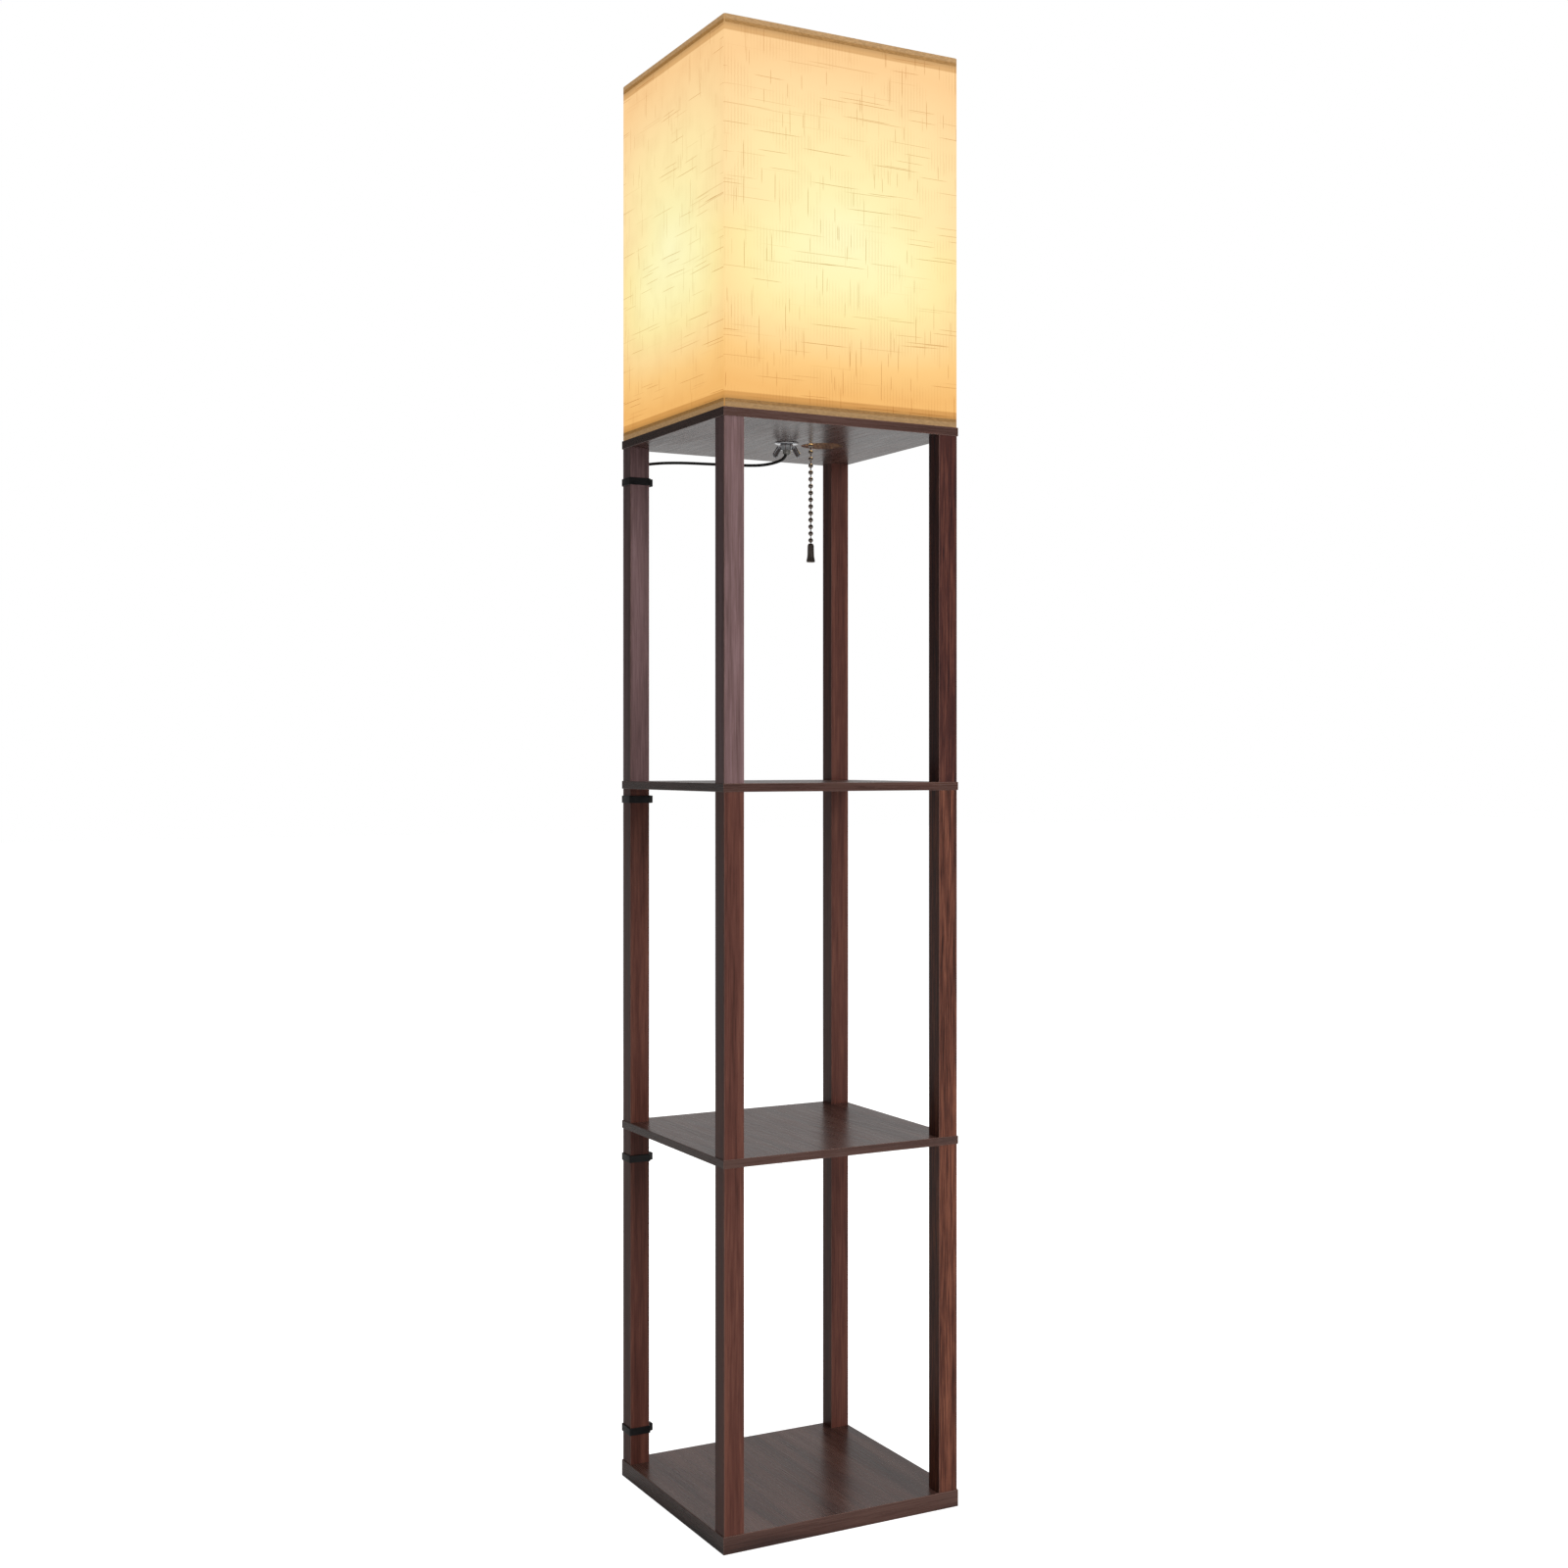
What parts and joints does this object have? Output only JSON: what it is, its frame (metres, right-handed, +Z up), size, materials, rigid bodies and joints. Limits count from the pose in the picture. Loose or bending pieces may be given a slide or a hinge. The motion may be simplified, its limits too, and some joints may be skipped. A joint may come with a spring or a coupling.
{
  "type": "shelf floor lamp",
  "caption": "Tall floor lamp with open shelves between square posts, a square fabric shade on top and a pull-chain switch that hangs through the top board.",
  "frame": {"origin": "centre of the base board's underside, on the floor", "axes": "+Z up, -Y towards the front, +X to the right seen from the front; the pull chain is on the +X side of the lamp holder and the lead leaves behind the post at -X, +Y"},
  "size_m": [0.2833, 0.3135, 1.6],
  "materials": {
    "wood_board": "satin walnut foil on MDF",
    "wood_post": "satin walnut foil on MDF",
    "zinc_steel": "zinc plated",
    "chrome_steel": "polished",
    "black_nylon": "moulded, slight sheen",
    "linen": "slubbed linen weave",
    "linen_trim": "folded linen trim",
    "shade_liner": "translucent white sheet",
    "white_wire": "white powder coat",
    "black_steel": "satin black",
    "brass_plate": "satin",
    "nickel_chain": "nickel plated",
    "black_plastic": "phenolic",
    "card_liner": "fibre insulating sleeve",
    "frosted_glass": "frosted, lit warm",
    "cap_metal": "rolled thread",
    "black_cord": "PVC jacket"
  },
  "bodies": {
    "lamp": {"base_board": "wood_board", "lower_shelf": "wood_board", "upper_shelf": "wood_board", "top_board": "wood_board", "post_lower_front_left": "wood_post", "post_lower_front_right": "wood_post", "post_lower_rear_left": "wood_post", "post_lower_rear_right": "wood_post", "post_middle_front_left": "wood_post", "post_middle_front_right": "wood_post", "post_middle_rear_left": "wood_post", "post_middle_rear_right": "wood_post", "post_upper_front_left": "wood_post", "post_upper_front_right": "wood_post", "post_upper_rear_left": "wood_post", "post_upper_rear_right": "wood_post", "post_inserts": "zinc_steel", "base_screws": "zinc_steel", "lower_studs": "zinc_steel", "upper_studs": "zinc_steel", "top_screws": "zinc_steel", "threaded_tube": "zinc_steel", "under_washer": "chrome_steel", "cord_bushing": "black_nylon", "shade_fabric": "linen", "bottom_trim": "linen_trim", "top_trim": "linen_trim", "shade_panel_front": "shade_liner", "shade_panel_rear": "shade_liner", "shade_panel_left": "shade_liner", "shade_panel_right": "shade_liner", "shade_bottom_frame": "white_wire", "shade_top_frame": "white_wire", "base_flange": "black_steel", "riser_sleeve": "black_steel", "socket_cap": "brass_plate", "socket_shell": "brass_plate", "socket_block": "black_plastic", "socket_liner": "card_liner", "screw_shell": "brass_plate", "centre_contact": "brass_plate", "switch_arm": "brass_plate", "cable_tie_1": "black_nylon", "cable_tie_2": "black_nylon", "cable_tie_3": "black_nylon", "cable_tie_4": "black_nylon", "cord_lead": "black_cord", "cord_hank": "black_cord", "cord_tail": "black_cord", "hank_tie": "black_nylon", "plug_body": "black_cord", "plug_relief": "black_cord", "plug_blades": "brass_plate"},
    "bulb": {"bulb_base": "cap_metal", "bulb_glass": "frosted_glass"},
    "nut": {"wing_nut": "chrome_steel"},
    "link": {"pull_link": "nickel_chain"},
    "coupling": {"chain_coupling": "nickel_chain"},
    "chain": {"pull_chain": "nickel_chain", "pull_bell": "nickel_chain"}
  },
  "joints": [
    {"name": "bulb_turn", "type": "hinge", "parent": "lamp", "child": "bulb", "pos_m": [0, 0, 1.3], "axis": [0, 0, 1], "continuous": true},
    {"name": "wing_nut_turn", "type": "hinge", "parent": "lamp", "child": "nut", "pos_m": [0, 0, 1.178], "axis": [0, 0, 1], "continuous": true},
    {"name": "switch_pull", "type": "slide", "parent": "lamp", "child": "link", "axis": [0, 0, -1], "range_m": [0, 0.01], "stiffness_N_per_m": 300},
    {"name": "coupling_swing", "type": "hinge", "parent": "link", "child": "coupling", "pos_m": [0.0305, 0, 1.2591], "axis": [0, 1, 0], "range_deg": [-12, 3]},
    {"name": "chain_swing", "type": "hinge", "parent": "coupling", "child": "chain", "pos_m": [0.0305, 0, 1.2514], "axis": [1, 0, 0], "range_deg": [-5, 5]}
  ]
}
